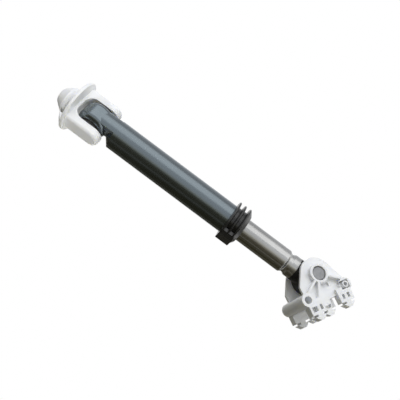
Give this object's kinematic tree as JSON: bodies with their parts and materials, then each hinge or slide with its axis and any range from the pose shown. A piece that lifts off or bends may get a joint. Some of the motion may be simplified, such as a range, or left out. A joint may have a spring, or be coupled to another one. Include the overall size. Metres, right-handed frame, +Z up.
{
  "type": "washing machine shock absorber",
  "caption": "Friction damper: black tube with a ribbed cap and a plated rod, hung between a white flanged fork and a ribbed white bracket with barbed feet, on crossed pins.",
  "frame": {"origin": "middle of the upper flange's seat, where the spigot leaves it", "axes": "+Z up along the damper and out of the spigot, +X along the upper pin, +Y along the lower pin"},
  "size_m": [0.0624, 0.05, 0.3171],
  "materials": {
    "white_plastic": "smooth moulded",
    "housing_black": "satin",
    "cap_black": "satin",
    "plated_steel": "bright zinc plated",
    "eye_black": "satin",
    "pin_steel": "plain",
    "spring_steel": "oiled",
    "bush_rubber": "matte",
    "lining_felt": "greased felt",
    "inner_plastic": "smooth moulded",
    "ring_plastic": "smooth moulded"
  },
  "bodies": {
    "upper_bracket": {"upper_bracket": "white_plastic", "upper_pin": "pin_steel"},
    "housing": {"housing_tube": "housing_black", "upper_bush": "bush_rubber", "upper_sleeve": "pin_steel", "bump_stop": "bush_rubber", "rebound_buffer": "bush_rubber", "retaining_ring": "spring_steel", "guide_bush": "inner_plastic", "lining_inner": "lining_felt", "lining_spacer": "inner_plastic", "lining_outer": "lining_felt", "end_cap": "cap_black", "wiper_seal": "bush_rubber"},
    "piston": {"piston_ring": "ring_plastic"},
    "rod": {"rod_plug": "inner_plastic", "piston_clip": "spring_steel", "rod_tube": "plated_steel", "rod_eye": "eye_black", "lower_bush": "bush_rubber", "lower_sleeve": "pin_steel"},
    "lower_bracket": {"lower_bracket": "white_plastic", "lower_pin": "pin_steel"}
  },
  "joints": [
    {"name": "upper_pivot", "type": "hinge", "parent": "upper_bracket", "child": "housing", "pos_m": [0, 0, -0.022], "axis": [1, 0, 0], "range_deg": [-60, 60]},
    {"name": "rod_slide", "type": "slide", "parent": "housing", "child": "piston", "axis": [0, 0, -1], "range_m": [-0.041, 0.0335]},
    {"name": "rod_spin", "type": "hinge", "parent": "piston", "child": "rod", "pos_m": [0, 0, -0.17], "axis": [0, 0, 1], "continuous": true},
    {"name": "lower_pivot", "type": "hinge", "parent": "rod", "child": "lower_bracket", "pos_m": [0, 0, -0.261], "axis": [0, 1, 0], "range_deg": [-92, 28]}
  ]
}
